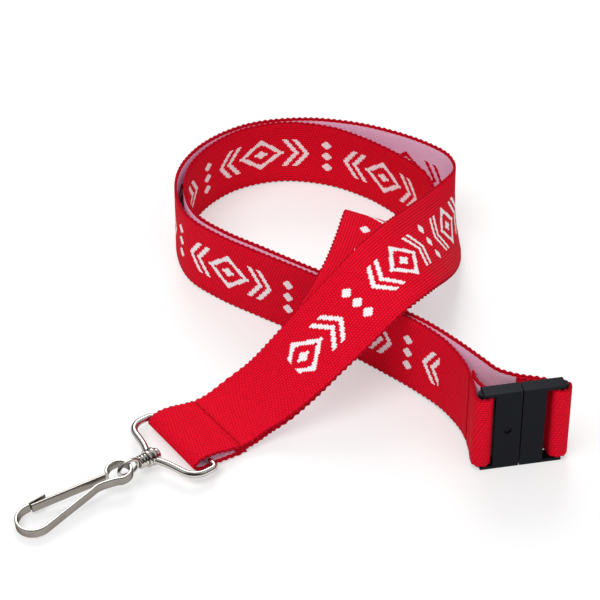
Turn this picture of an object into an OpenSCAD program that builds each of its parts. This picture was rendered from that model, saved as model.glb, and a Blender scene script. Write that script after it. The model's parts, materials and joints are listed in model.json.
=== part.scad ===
// Lanyard: two runs of woven strap, a breakaway buckle, a D ring, a swivel and a spring hook.
// Millimetres. Z is up from the table, the origin is under the middle of the buckle socket,
// and the swivel points nearly along -X towards the hook.

/* [Strap] */
// Width of the webbing
strap_w = 25; // [24:0.25:25.5]
// Thickness of the webbing
strap_t = 0.9; // [0.7:0.05:0.9]

/* [Buckle] */
// Thickness of both halves, front to back
buckle_t = 4; // [3.8:0.1:4.6]
// Length of the socket's block along the strap
socket_l = 7.6; // [7.4:0.1:9]
// Length of the plug's block along the strap
plug_l = 6.6; // [6:0.1:7]
// Height of the arms above and below the webbing
arm_h = 1; // [0.9:0.1:1.6]
// Length of the plug's tongue inside the socket
tongue_l = 5; // [4:0.5:6]

/* [Ring and swivel] */
// Diameter of the D ring's wire
wire_d = 2; // [1.7:0.1:2.2]
// Depth of the D ring from its bar to the middle of its eye
ring_depth = 11.6; // [11.2:0.1:12.8]
// Diameter of the swivel pin's shank
pin_d = 2.6; // [2.2:0.1:2.8]

/* [Hook] */
// Height of the hook's steel strip
strip_h = 2.8; // [2.4:0.1:2.8]
// Thickness of the hook's steel strip
strip_t = 0.9; // [0.7:0.05:1]
// Distance from the hook's ring to the middle of its bend
hook_l = 28; // [25:0.2:32]

/* [Hidden] */
$fn = 48;

// Clearances
strap_side_gap = 0.2;
run_gap = 0.05;
thread_gap = 0.05;
parting_gap = 0.3;
joint_gap = 0.3;
table_gap = 0.05;

// Straight wire and strip run a little into each bend, and are a little thinner there
bend_lap = 0.3;
bend_step = 0.05;

// Buckle, in its own axes: x along the strap from the socket to the plug, -y the front face
buckle_turn = -34;
slot_h = strap_w + 2 * strap_side_gap;
buckle_h = slot_h + 2 * arm_h;
strap_mid_z = buckle_h / 2;
bar_l = 3.4;
bar_t = 2.6;
socket_bar_reach = 3;
plug_bar_reach = 4.9;
socket_bar_x = socket_l + socket_bar_reach;
plug_bar_x = parting_gap + plug_l + plug_bar_reach;
arm_past_bar = 0.2;
tongue_t = 1.8;
tongue_h = 17;
tongue_gap = 0.15;
dimple_r = 1.2;
dimple_depth = 0.4;

// D ring, swivel and hook: the ring lies turned and a little raised, and the hook slopes down to the table
ring_x = -60;
ring_y = 68.3;
bar_z = 2.95;
ring_turn = -4;
ring_rise = 4;
ring_half = strap_w / 2 + 2.1;
bar_bend_r = 1.6;
corner_setback = 7.6;
side_l = ring_depth - corner_setback;
corner_r = 5;
limb_slope = 14;
boss_r = 2.65;
boss_l = 2.2;
head_r = 1.9;
head_l = 1.5;
washer_r = 2.5;
washer_l = 1;
neck_r = 1.9;
neck_l = 2.7;
neck_groove_r = 0.25;
eye_wire_r = 0.55;
eye_half = 2.7;
eye_straight = 1.4;
eye_start = ring_depth + boss_l / 2 + washer_l + neck_l;
hook_start = eye_start + 2 * eye_half + eye_straight;
hook_turn = -4.3;
hook_ring_r = 3.5;
hook_leg_slope = 11;
bend_r = 5;
nose_l = 1.5;
lip_l = 5.4;
lip_t = 0.4;
gate_root = [4.5, -0.85];
gate_slope = -9;
hook_z = bar_z + hook_start * sin(ring_rise);
hook_drop = asin((hook_z - strip_h / 2 - table_gap) / (hook_l + bend_r + strip_t / 2));

// Route of each strap run, station by station: x, y and z of the middle of the webbing,
// then the azimuth and the rise of its left edge in degrees, for webbing of route_w
route_w = 25;
steps = 4;
front_stations = [
    [-46, 66.6, 0.5, 80, 0], [-49, 67, 0.6, 80, 0], [-57, 68.5, 1.2, 80, 0], [-61.5, 69.2, 1.3, 80, 0],
    [-63.5, 69.6, 2.9, 80, 0], [-61.5, 69.2, 4.7, 80, 0], [-57, 68.5, 4.7, 80, 0], [-51, 67.5, 3.3, 80, 0],
    [-45, 66.5, 2.8, 80, 0], [-38, 65, 5.2, 79, 1], [-30.5, 62, 9.5, 79, 4], [-14, 57, 21.8, 86, 11],
    [4.5, 54.5, 31.8, 86, 17], [20.5, 57.5, 31, 85, 24], [34.5, 63, 25.6, 82, 32], [50, 70.5, 18.5, 70, 40],
    [62, 77, 14, 60, 52], [70, 83, 12.8, 50, 68], [74.5, 90, 12.6, 50, 80], [75.5, 98.5, 12.55, 40, 88],
    [74, 110.5, 12.55, 200, 87], [68.5, 125, 12.55, 220, 85], [58, 139, 12.55, 235, 85],
    [43, 149, 12.55, 250, 85], [26, 151, 12.55, 270, 86], [11, 146, 12.55, 300, 88], [0.5, 136, 12.55, 0, 90],
    [-5, 124.5, 12.55, 0, 90], [-5, 111, 12.55, 0, 90], [-2.5, 96.5, 12.55, 0, 90], [0.5, 81.5, 12.55, 0, 90],
    [3.5, 65.5, 12.55, 0, 90], [5, 51.5, 12.6, 45, 88], [5.5, 38.5, 13, 45, 86], [4.5, 27.5, 13.4, 45, 86],
    [1, 17, 13.7, 45, 88],
];
rear_stations = [
    [-50, 67.2, 1.6, 80, 0], [-44, 66.3, 1.6, 80, 0], [-37, 64.8, 4, 79, 1], [-30, 62.4, 7.8, 79, 4],
    [-14, 59, 19.2, 88, 9], [-1, 60, 26.6, 100, 5], [10, 64.3, 28.2, 113, 7], [21, 70.8, 27.9, 121, 9],
    [31.3, 77.6, 27, 124, 12], [35.6, 80.6, 24.2, 122, 10], [38, 81.5, 19.8, 118, 5],
    [41.3, 82.2, 15.4, 117, -3], [45.7, 83.7, 12, 116, -16], [50.4, 85, 10.4, 114, -32],
    [55.4, 86.2, 10.6, 110, -50], [60, 88, 11.9, 100, -68], [63.2, 91.4, 12.55, 85, -81],
    [64.6, 97, 12.55, 55, -86], [65, 103, 12.55, 40, -87], [65, 108, 12.55, 30, -86],
    [64.5, 115.5, 12.55, 30, -85], [61, 129, 12.55, 45, -85], [52, 141.5, 12.55, 60, -85],
    [39.5, 148, 12.55, 80, -85], [26, 148.5, 12.55, 90, -86], [13, 144, 12.55, 110, -88],
    [2.5, 134, 12.55, 0, -90], [-2.5, 123.5, 12.55, 0, -90], [-2.5, 111.5, 12.55, 0, -90],
    [0, 97.5, 12.55, 0, -90], [2.5, 83.5, 12.55, 0, -90], [5.5, 67.5, 12.55, 0, -90],
    [7, 51.5, 12.6, 0, -90], [8, 37.5, 13.1, 0, -90], [7.5, 25.5, 13.4, 0, -90], [6.3, 14.5, 13.7, 0, -90],
];
// Where each run wraps its buckle bar: plan points from the middle of that bar, in the buckle's axes
front_wrap = [
    [-1.6, 9.2], [-1.8, 4.7], [-2.35, 1], [-2.1, -0.9], [-0.9, -1.9], [0.9, -1.9], [2.1, -0.9],
    [2.35, 0.6], [1.7, 2.6], [0.7, 5.5], [0.3, 9], [0.7, 13],
];
rear_wrap = [
    [-15.6, 10.6], [-10.4, 6.9], [-4.9, 4.6], [-0.9, 2.4], [1.3, 1.8], [2.4, 0.4], [2, -1.2], [0.8, -1.95],
    [-1, -1.95], [-2.3, -1], [-2.7, 0.6], [-3.5, 2.3], [-5.4, 3.25], [-8.9, 4.7], [-11.6, 6],
];
ring_seam_at = 7.5;
front_seam_at = len(front_stations);
rear_split_at = len(rear_stations) + 1;
rear_seam_at = rear_split_at + 1;
stitch = [0.5, 2.1, 0.3];
stitch_pitch = 2.6;
stitches = 9;
tack_stitches = 3;

// Colours
strap_red = [0.78, 0.02, 0.09];
thread_red = [0.5, 0.01, 0.05];
buckle_black = [0.05, 0.05, 0.06];
nickel = [0.72, 0.7, 0.67];

// Strap geometry
function unit(v) = v / norm(v);
function centre(row) = [row[0], row[1], row[2]];
function side(row) = [row[3], row[4], row[5]];
function edge_direction(azimuth, rise) =
    [cos(rise) * cos(azimuth), cos(rise) * sin(azimuth), sin(rise)];
function plan_turn(p, angle) =
    [p[0] * cos(angle) - p[1] * sin(angle), p[0] * sin(angle) + p[1] * cos(angle)];

// A free station as a row of middle point and left edge direction
function station_row(s) =
    concat([s[0], s[1], s[2] * strap_w / route_w], edge_direction(s[3], s[4]));

// A station beside a buckle bar, where the webbing stands upright
function wrap_row(p, bar_x, rise) =
    let (plan = plan_turn([p[0] + bar_x + socket_l / 2, p[1]], buckle_turn))
    concat(plan, [strap_mid_z], edge_direction(0, rise));

// Centripetal spline between the two middle rows of four
function knot(a, b) = sqrt(norm(centre(b) - centre(a)));
function mix_rows(a, b, ta, tb, t) = a * (tb - t) / (tb - ta) + b * (t - ta) / (tb - ta);
function spline_row(p, f) =
    let (t1 = knot(p[0], p[1]),
         t2 = t1 + knot(p[1], p[2]),
         t3 = t2 + knot(p[2], p[3]),
         t = t1 + (t2 - t1) * f,
         a1 = mix_rows(p[0], p[1], 0, t1, t),
         a2 = mix_rows(p[1], p[2], t1, t2, t),
         a3 = mix_rows(p[2], p[3], t2, t3, t),
         b1 = mix_rows(a1, a2, 0, t2, t),
         b2 = mix_rows(a2, a3, t1, t3, t))
    mix_rows(b1, b2, t1, t2, t);

// Every row of a route, with the end rows carried on so that the spline reaches them
function route(rows) =
    let (last = len(rows) - 1,
         k = concat([2 * rows[0] - rows[1]], rows, [2 * rows[last] - rows[last - 1]]))
    concat(
        [for (i = [1:last], j = [0:steps - 1]) spline_row([k[i - 1], k[i], k[i + 1], k[i + 2]], j / steps)],
        [rows[last]]
    );

// Frame of the webbing at one row: middle, direction, left edge direction and face normal
function strap_frame(rows, i) =
    let (last = len(rows) - 1,
         along = unit(centre(rows[min(i + 1, last)]) - centre(rows[max(i - 1, 0)])),
         raw = side(rows[i]),
         left = unit(raw - (raw * along) * along))
    [centre(rows[i]), along, left, cross(along, left)];

front_rows = route(concat(
    [for (s = front_stations) station_row(s)],
    [for (p = front_wrap) wrap_row(p, -socket_bar_x, 90)]
));
rear_rows = route(concat(
    [for (s = rear_stations) station_row(s)],
    [for (p = rear_wrap) wrap_row(p, plug_bar_x, -90)]
));
split_row = rear_split_at * steps;
split_share = joint_gap / norm(centre(rear_rows[split_row + 1]) - centre(rear_rows[split_row]));
rear_end_rows = concat(
    [mix_rows(rear_rows[split_row], rear_rows[split_row + 1], 0, 1, split_share)],
    [for (i = [split_row + 1:len(rear_rows) - 1]) rear_rows[i]]
);

// Webbing swept along rows first to last of a route
module webbing(rows, first, last) {
    frames = [for (i = [first:last]) strap_frame(rows, i)];
    count = len(frames);
    points = [
        for (f = frames, corner = [[1, 1], [-1, 1], [-1, -1], [1, -1]])
        f[0] + f[2] * corner[0] * strap_w / 2 + f[3] * corner[1] * strap_t / 2
    ];
    walls = [
        for (i = [0:count - 2], k = [0:3], half = [0, 1])
        let (a = 4 * i + k, b = 4 * i + (k + 1) % 4)
        half == 0 ? [a, a + 4, b + 4] : [a, b + 4, b]
    ];
    end = 4 * (count - 1);
    caps = [[0, 1, 2], [0, 2, 3], [end + 2, end + 1, end], [end + 3, end + 2, end]];
    polyhedron(points = points, faces = concat(walls, caps));
}

// Children in the webbing's own axes: x along it, y to its left edge, z out of its red face
module on_strap(rows, i) {
    f = strap_frame(rows, i);
    multmatrix([
        [f[1][0], f[2][0], f[3][0], f[0][0]],
        [f[1][1], f[2][1], f[3][1], f[0][1]],
        [f[1][2], f[2][2], f[3][2], f[0][2]],
        [0, 0, 0, 1],
    ])
        children();
}

// Stitches across the webbing at one row of a route, from the right edge leftwards
module stitch_row(rows, i, count) {
    lift = strap_t / 2 + thread_gap + stitch[2] / 2;
    on_strap(rows, i)
        for (j = [0:count - 1])
            translate([0, (j - (stitches - 1) / 2) * stitch_pitch, lift]) cube(stitch, center = true);
}

module front_strap() {
    color(strap_red) webbing(front_rows, 0, len(front_rows) - 1);
}

module rear_strap() {
    color(strap_red) webbing(rear_rows, 0, split_row);
}

module rear_strap_end() {
    color(strap_red) webbing(rear_end_rows, 0, len(rear_end_rows) - 1);
}

module ring_seam() {
    color(thread_red) {
        stitch_row(front_rows, ring_seam_at * steps, stitches);
        stitch_row(front_rows, ring_seam_at * steps - 1, tack_stitches);
    }
}

module front_end_seam() {
    color(thread_red) stitch_row(front_rows, front_seam_at * steps, stitches);
}

module rear_end_seam() {
    color(thread_red) stitch_row(rear_rows, rear_seam_at * steps, stitches);
}

// Buckle
module at_buckle() {
    rotate([0, 0, buckle_turn]) translate([socket_l / 2, 0, 0]) children();
}

// Front view of one half: a block with an arm above and below the webbing
module half_outline(block_start, block_end, bar_x) {
    translate([block_start, 0]) square([block_end - block_start, buckle_h]);
    for (low = [0, buckle_h - arm_h]) {
        translate([block_start, low]) square([bar_x + arm_past_bar - block_start, arm_h]);
        translate([bar_x + arm_past_bar, low + arm_h / 2]) circle(d = arm_h);
    }
}

// Flat bar with round edges that the webbing wraps, reaching into both arms
module strap_bar(bar_x) {
    reach = arm_h / 2;
    round_x = (bar_l - bar_t) / 2;
    translate([bar_x, 0, arm_h - reach]) {
        for (x = [-round_x, round_x])
            translate([x, 0, 0]) cylinder(d = bar_t, h = slot_h + 2 * reach);
        translate([-round_x, -bar_t / 2, 0]) cube([2 * round_x, bar_t, slot_h + 2 * reach]);
    }
}

module buckle_half(block_start, block_end, bar_x) {
    translate([0, buckle_t / 2, 0]) rotate([90, 0, 0])
        linear_extrude(buckle_t) half_outline(block_start, block_end, bar_x);
    strap_bar(bar_x);
}

module tongue_block(gap, length) {
    size = [length, tongue_t + 2 * gap, tongue_h + 2 * gap];
    translate([-length, -size[1] / 2, (buckle_h - size[2]) / 2]) cube(size);
}

module buckle_socket() {
    color(buckle_black)
        at_buckle() difference() {
            mirror([1, 0, 0]) buckle_half(0, socket_l, socket_bar_x);
            translate([joint_gap, 0, 0]) tongue_block(tongue_gap, tongue_l + 2 * joint_gap);
            translate([-socket_l / 2, -buckle_t / 2 + dimple_depth, buckle_h / 2])
                rotate([90, 0, 0]) cylinder(r = dimple_r, h = 2 * dimple_depth);
        }
}

module buckle_plug() {
    color(buckle_black)
        at_buckle() {
            buckle_half(parting_gap, parting_gap + plug_l, plug_bar_x);
            translate([2 * parting_gap, 0, 0]) tongue_block(0, tongue_l + 2 * parting_gap);
        }
}

// Ring, swivel and hook
module at_ring() {
    translate([ring_x, ring_y, bar_z]) rotate([0, -ring_rise, 180 + ring_turn]) children();
}

module rod(length, r) {
    rotate([0, 90, 0]) cylinder(r = r, h = length);
}

module wire_arc(bend, from, sweep) {
    rotate([0, 0, from]) rotate_extrude(angle = sweep) translate([bend, 0]) circle(d = wire_d);
}

// Straight wire from a point along an angle, reaching back into the bend before it
module straight_wire(start, angle, length) {
    translate(start) rotate([0, 0, angle]) translate([-bend_lap, 0, 0])
        rod(length + bend_lap, wire_d / 2 - bend_step);
}

// One side of the D: a tight bend at the bar, the side, the corner and the limb,
// which meets the eye outside the reach of the pin's head
module ring_side() {
    corner_y = ring_half - corner_r;
    limb_x = side_l + corner_r * cos(limb_slope);
    limb_y = corner_y + corner_r * sin(limb_slope);
    limb_l = (limb_y - (boss_r + head_r) / 2) / cos(limb_slope);
    translate([bar_bend_r, ring_half - bar_bend_r, 0]) wire_arc(bar_bend_r, 90, 90);
    straight_wire([bar_bend_r, ring_half, 0], 0, side_l - bar_bend_r + bend_lap);
    translate([side_l, corner_y, 0]) wire_arc(corner_r, limb_slope, 90 - limb_slope);
    straight_wire([limb_x, limb_y, 0], limb_slope - 90, limb_l);
}

module d_ring() {
    boss_start = ring_depth - boss_l / 2;
    bar_half = ring_half - bar_bend_r;
    color(nickel)
        at_ring() difference() {
            union() {
                straight_wire([0, -bar_half, 0], 90, 2 * bar_half + bend_lap);
                ring_side();
                mirror([0, 1, 0]) ring_side();
                translate([boss_start, 0, 0]) rod(boss_l, boss_r);
            }
            translate([boss_start - 1, 0, 0]) rod(boss_l + 2, pin_d / 2 + run_gap);
        }
}

module swivel_pin() {
    boss_start = ring_depth - boss_l / 2;
    head_start = boss_start - run_gap - head_l;
    color(nickel)
        at_ring() {
            translate([head_start, 0, 0]) rotate([0, 90, 0]) {
                cylinder(r1 = head_r * 0.7, r2 = head_r, h = head_l / 3);
                translate([0, 0, head_l / 3]) cylinder(r = head_r, h = head_l * 2 / 3);
            }
            translate([head_start + head_l / 2, 0, 0])
                rod(eye_start - neck_l / 3 - head_start - head_l / 2, pin_d / 2);
        }
}

module swivel_washer() {
    color(nickel)
        at_ring() translate([ring_depth + boss_l / 2 + run_gap, 0, 0]) difference() {
            rod(washer_l - 2 * run_gap, washer_r);
            translate([-1, 0, 0]) rod(washer_l + 2, pin_d / 2 + run_gap);
        }
}

// Neck pressed on the pin, with two grooves, and the loop that carries the hook
module swivel_eye() {
    neck_start = eye_start - neck_l;
    near = eye_start + eye_half;
    color(nickel)
        at_ring() {
            difference() {
                translate([neck_start, 0, 0]) rod(neck_l + eye_wire_r, neck_r);
                translate([neck_start - 1, 0, 0]) rod(1 + neck_l * 2 / 3 + run_gap, pin_d / 2 + run_gap / 2);
                for (share = [0.3, 0.7])
                    translate([neck_start + neck_l * share, 0, 0]) rotate([0, 90, 0])
                        rotate_extrude() translate([neck_r, 0]) circle(r = neck_groove_r);
            }
            rotate([90, 0, 0]) {
                translate([near, 0, 0]) rotate([0, 0, 90])
                    rotate_extrude(angle = 180) translate([eye_half, 0]) circle(r = eye_wire_r);
                translate([near + eye_straight, 0, 0]) rotate([0, 0, -90])
                    rotate_extrude(angle = 180) translate([eye_half, 0]) circle(r = eye_wire_r);
            }
            for (z = [-eye_half, eye_half])
                translate([near, 0, z]) rod(eye_straight, eye_wire_r);
        }
}

// Hook axes: x from its ring to its bend, y across, z along the strip's height
module at_hook() {
    at_ring() translate([hook_start, 0, 0]) rotate([0, ring_rise + hook_drop, 0]) rotate([0, 0, hook_turn])
        children();
}

// Straight strip from a point, its middle on the line of the slope
module strip(start, slope, length, thick = strip_t - 2 * bend_step) {
    translate(start) rotate([0, 0, slope]) translate([0, -thick / 2, -strip_h / 2])
        cube([length, thick, strip_h]);
}

module hook_body() {
    leg_end = [hook_l - bend_r * sin(hook_leg_slope), bend_r * cos(hook_leg_slope)];
    leg_l = (leg_end[0] - hook_ring_r) / cos(hook_leg_slope);
    leg_start = leg_end - leg_l * [cos(hook_leg_slope), sin(hook_leg_slope)];
    lip_y = -bend_r - strip_t / 2 + bend_step + lip_t / 2;
    nose_start = hook_l - nose_l;
    color(nickel)
        at_hook() {
            difference() {
                cylinder(r = hook_ring_r + strip_t / 2, h = strip_h, center = true);
                cylinder(r = hook_ring_r - strip_t / 2, h = strip_h + 2, center = true);
            }
            strip(leg_start, hook_leg_slope, leg_l + bend_lap);
            translate([hook_l, 0, 0]) rotate([0, 0, -90]) rotate_extrude(angle = 180 + hook_leg_slope)
                translate([bend_r - strip_t / 2, -strip_h / 2]) square([strip_t, strip_h]);
            strip([nose_start, -bend_r], 0, nose_l + bend_lap);
            strip([nose_start - lip_l, lip_y], 0, lip_l + nose_l, lip_t);
        }
}

module hook_gate() {
    tip_x = hook_l - nose_l - joint_gap;
    color(nickel)
        at_hook() {
            strip(gate_root, gate_slope, (tip_x - gate_root[0]) / cos(gate_slope));
            translate(gate_root) cylinder(d = strip_t, h = strip_h, center = true);
        }
}

front_strap();
rear_strap();
rear_strap_end();
ring_seam();
front_end_seam();
rear_end_seam();
buckle_socket();
buckle_plug();
d_ring();
swivel_pin();
swivel_washer();
swivel_eye();
hook_body();
hook_gate();
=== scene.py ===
"""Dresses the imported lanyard: woven straps, sewn seams, a black buckle and nickel metal on a pale table."""

import json
import math

import bmesh
import bpy
import numpy as np
from bpy.props import FloatProperty, FloatVectorProperty, PointerProperty
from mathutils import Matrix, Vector


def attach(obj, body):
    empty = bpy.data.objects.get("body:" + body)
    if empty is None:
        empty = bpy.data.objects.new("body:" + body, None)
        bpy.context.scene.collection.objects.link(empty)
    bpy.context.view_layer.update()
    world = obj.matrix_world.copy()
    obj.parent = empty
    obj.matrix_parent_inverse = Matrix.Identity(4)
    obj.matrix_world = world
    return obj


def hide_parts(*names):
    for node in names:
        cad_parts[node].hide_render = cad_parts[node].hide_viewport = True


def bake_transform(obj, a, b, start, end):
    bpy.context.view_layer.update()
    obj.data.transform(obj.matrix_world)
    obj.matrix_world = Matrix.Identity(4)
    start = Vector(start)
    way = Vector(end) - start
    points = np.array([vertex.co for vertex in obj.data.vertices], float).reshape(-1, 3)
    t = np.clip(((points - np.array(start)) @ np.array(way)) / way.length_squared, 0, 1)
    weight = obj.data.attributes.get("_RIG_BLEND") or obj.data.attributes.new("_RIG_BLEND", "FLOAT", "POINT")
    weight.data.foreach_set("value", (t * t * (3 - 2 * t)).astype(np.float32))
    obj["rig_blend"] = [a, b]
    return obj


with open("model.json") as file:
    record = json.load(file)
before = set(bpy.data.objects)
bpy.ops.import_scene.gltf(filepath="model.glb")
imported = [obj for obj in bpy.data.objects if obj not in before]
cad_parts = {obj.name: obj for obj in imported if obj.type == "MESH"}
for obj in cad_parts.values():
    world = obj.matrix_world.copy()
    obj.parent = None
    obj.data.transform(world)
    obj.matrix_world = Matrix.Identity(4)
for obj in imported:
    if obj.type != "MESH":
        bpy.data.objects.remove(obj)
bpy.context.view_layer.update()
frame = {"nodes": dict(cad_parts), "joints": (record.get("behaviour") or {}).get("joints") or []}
joints = {joint["name"]: joint for joint in frame["joints"]}

bl_info = {
    "name": "Woven Lanyard",
    "version": (1, 0, 0),
    "blender": (4, 5, 0),
    "location": "View3D > Sidebar > Lanyard",
    "description": "Dresses a packed lanyard with webbing, thread, plastic and nickel",
    "category": "Object",
}

# Lengths below are millimetres unless a property says otherwise, and meshes are in metres
MM = 0.001

# Strap routes: x, y and z of the middle of the webbing, then azimuth and rise of its left edge in degrees
FRONT_STATIONS = (
    (-47.2, 66.8, 0.5, 80, 0), (-49, 67, 0.6, 80, 0), (-57, 68.5, 1.2, 80, 0), (-61.5, 69.2, 1.3, 80, 0),
    (-63.5, 69.6, 2.9, 80, 0), (-61.5, 69.2, 4.7, 80, 0), (-57, 68.5, 4.7, 80, 0), (-51, 67.5, 3.3, 80, 0),
    (-45, 66.5, 2.8, 80, 0), (-38, 65, 5.2, 79, 1), (-30.5, 62, 9.5, 79, 4), (-14, 57, 21.8, 86, 11),
    (4.5, 54.5, 31.8, 86, 17), (20.5, 57.5, 31, 85, 24), (34.5, 63, 25.6, 82, 32), (50, 70.5, 18.5, 70, 40),
    (62, 77, 14, 60, 52), (70, 83, 12.8, 50, 68), (74.5, 90, 12.6, 50, 80), (75.5, 98.5, 12.55, 40, 88),
    (74, 110.5, 12.55, 200, 87), (68.5, 125, 12.55, 220, 85), (58, 139, 12.55, 235, 85),
    (43, 149, 12.55, 250, 85), (26, 151, 12.55, 270, 86), (11, 146, 12.55, 300, 88), (0.5, 136, 12.55, 0, 90),
    (-5, 124.5, 12.55, 0, 90), (-5, 111, 12.55, 0, 90), (-2.5, 96.5, 12.55, 0, 90), (0.5, 81.5, 12.55, 0, 90),
    (3.5, 65.5, 12.55, 0, 90), (5, 51.5, 12.6, 45, 88), (5.5, 38.5, 13, 45, 86), (4.5, 27.5, 13.4, 45, 86),
    (1, 17, 13.7, 45, 88),
)
REAR_STATIONS = (
    (-50, 67.2, 1.6, 80, 0), (-44, 66.3, 1.6, 80, 0), (-37, 64.8, 4, 79, 1), (-30, 62.4, 7.8, 79, 4),
    (-14, 59, 19.2, 88, 9), (-1, 60, 26.6, 100, 5), (10, 64.3, 28.2, 113, 7), (21, 70.8, 27.9, 121, 9),
    (31.3, 77.6, 27, 124, 12), (35.6, 80.6, 24.2, 122, 10), (38, 81.5, 19.8, 118, 5),
    (41.3, 82.2, 15.4, 117, -3), (45.7, 83.7, 12, 116, -16), (50.4, 85, 10.4, 114, -32),
    (55.4, 86.2, 10.6, 110, -50), (60, 88, 11.9, 100, -68), (63.2, 91.4, 12.55, 85, -81),
    (64.6, 97, 12.55, 55, -86), (65, 103, 12.55, 40, -87), (65, 108, 12.55, 30, -86),
    (64.5, 115.5, 12.55, 30, -85), (61, 129, 12.55, 45, -85), (52, 141.5, 12.55, 60, -85),
    (39.5, 148, 12.55, 80, -85), (26, 148.5, 12.55, 90, -86), (13, 144, 12.55, 110, -88),
    (2.5, 134, 12.55, 0, -90), (-2.5, 123.5, 12.55, 0, -90), (-2.5, 111.5, 12.55, 0, -90),
    (0, 97.5, 12.55, 0, -90), (2.5, 83.5, 12.55, 0, -90), (5.5, 67.5, 12.55, 0, -90),
    (7, 51.5, 12.6, 0, -90), (8, 37.5, 13.1, 0, -90), (7.5, 25.5, 13.4, 0, -90), (6.3, 14.5, 13.7, 0, -90),
)
# Where each run wraps its buckle bar: plan points from the middle of that bar, in the buckle's axes
FRONT_WRAP = (
    (-1.6, 9.2), (-1.8, 4.7), (-2.35, 1), (-2.1, -0.9), (-0.9, -1.9), (0.9, -1.9), (2.1, -0.9),
    (2.35, 0.6), (1.6, 2.6), (0.3, 5.4), (-0.5, 8.4), (-0.4, 11),
)
REAR_WRAP = (
    (-15.6, 10.6), (-10.4, 6.9), (-4.9, 4.6), (-0.9, 2.4), (1.3, 1.8), (2.4, 0.4), (2, -1.2), (0.8, -1.95),
    (-1, -1.95), (-2.3, -1), (-2.7, 0.6), (-3.5, 2.3), (-5.4, 3.25), (-8.9, 4.7), (-11.6, 6),
)
# Buckle: its turn in degrees, the socket's length, the bars' places from the parting face, and its mid height
BUCKLE_TURN = -34
SOCKET_LENGTH = 7.6
SOCKET_BAR = -10.6
PLUG_BAR = 11.8
BUCKLE_MID_Z = 13.7

# The part of the rear run that stretches when the plug leaves the socket lies between these two stations
STRETCH = (-4, -1)

# Rows of the route between two stations, as the solids have them and for the smooth webbing, the pitch of the
# webbing's own rows, and the points of its outline on each face and round each edge
SEAM_STEPS = 4
FINE_STEPS = 32
ROW_PITCH = 0.3
FACE_POINTS = 9
EDGE_POINTS = 5

# Weft loops of the edges: the width that they grow from, and the share of a loop that stays inside the edge
LOOP_ROOT = 0.7
LOOP_INSET = 0.9

# Weave: pitch of the warp threads, the share of their height that they dip by, threads in one slant of the
# twill, the widths of the dark rim on each edge and of the red rim on the back, and how far round an edge the
# back starts, from 1 on the face to -1
WARP_PITCH = 0.85
WARP_DIP = 0.6
TWILL_THREADS = 3
DARK_RIM = 0.45
RED_RIM = 1
BACK_STARTS = -0.4

# Woven trim: its repeat and its steps; the half sizes of the large lozenge, and its rim and core as shares of
# its size; the half sizes of the small ones and their pitch; and the pair of chevrons, whose place is where
# the line between them meets the middle of the webbing
TRIM_REPEAT = 44
STEP_ACROSS = 0.5
STEP_ALONG = 0.55
LOZENGE_HALF = (7.8, 6)
LOZENGE_RIM = 0.72
LOZENGE_CORE = 0.3
SMALL_HALF = (2, 1.7)
SMALL_PITCH = 4.4
CHEVRON_PLACE = 13.6
CHEVRON_SLANT = 0.75
CHEVRON_APART = 3.5
CHEVRON_HALF = 0.85
CHEVRON_HEIGHT = 5.6

# Seams: where they lie on a route, counted in its stations, and the stitches of each
RING_SEAM = 7.5
TACK = 7.25
FRONT_END_SEAM = len(FRONT_STATIONS)
REAR_END_SEAM = len(REAR_STATIONS) + 2
STITCH_PITCH = 2.6
STITCHES = 9
TACK_STITCHES = 3
STITCH_HALF = (0.3, 1.22, 0.24)
STITCH_BLUNTNESS = 0.6
STITCH_POINTS = 8
GROOVE_DEPTH = 0.28
GROOVE_HALF = 0.6

# The trim woven along a run starts and stops this far from its ends
FRONT_BARE = (62, 46)
REAR_BARE = (28, 44)

# D ring, in its own axes: x out of the strap, y along the bar from its middle. A limb turns in at LIMB_TURN
# and meets the eye at EYE_JOIN
RING_HALF = 14.6
BAR_BEND = 1.6
SIDE_LENGTH = 4
CORNER_BEND = 5
LIMB_SLOPE = 14
LIMB_TURN = 5.5
EYE_JOIN = 2.2
RING_DEPTH = 11.6
BOSS_RADIUS = 2.65
BOSS_LENGTH = 2.2
BOSS_EDGE = 1.0

# Swivel, on the ring's x axis; places along the neck are shares of its length
PIN_RADIUS = 1.3
RUN_GAP = 0.05
HEAD_RADIUS = 1.9
HEAD_LENGTH = 1.5
HEAD_RIM = 0.525
PIN_IN_NECK = 2 / 3
WASHER_RADIUS = 2.5
WASHER_LENGTH = 1
WASHER_EDGE = 0.25
NECK_RADIUS = 1.9
NECK_LENGTH = 2.7
NECK_GROOVES = (0.3, 0.7)
NECK_GROOVE_HALF = 0.07
NECK_GROOVE_DEPTH = 0.3
NECK_END = 0.1
NECK_END_DEPTH = 0.35
EYE_WIRE = 0.55
EYE_HALF = 2.7
EYE_STRAIGHT = 1.4
EYE_FLATNESS = 0.82

# Hook, in its own axes: x from its ring to its bend, z along the height of the strip. LEG_POINTS lie along
# the leg, counted from the bend, and the ring turns through the degrees of RING_CLOSE
HOOK_LENGTH = 28
HOOK_RING = 3.5
HOOK_BEND = 5
LEG_SLOPE = 11
LEG_POINTS = (6, 12, 17, 19.6)
RING_CLOSE = (48, 342)
NOSE_LENGTH = 1.5
LIP_LENGTH = 5.4
LIP_THICKNESS = 0.4
LIP_EDGE = 0.15
STRIP_EDGE = 0.3
GATE_ROOT = (4.5, -0.85)
GATE_SLOPE = -9
GATE_GAP = 0.3

# Fineness of the metal: steps of a smoothed path between two points, pitches and rows along a path, and
# points of an arc or round a wire
WIRE_STEPS = 8
STRIP_STEPS = 12
BENT_PITCH = 0.25
LIP_PITCH = 0.5
GATE_ROWS = 60
DOME_ROWS = 10
NECK_ROWS = 28
BEND_POINTS = 16
RING_POINTS = 20
SLEEVE_POINTS = 6
WIRE_POINTS = 24
EYE_POINTS = 16

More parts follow.
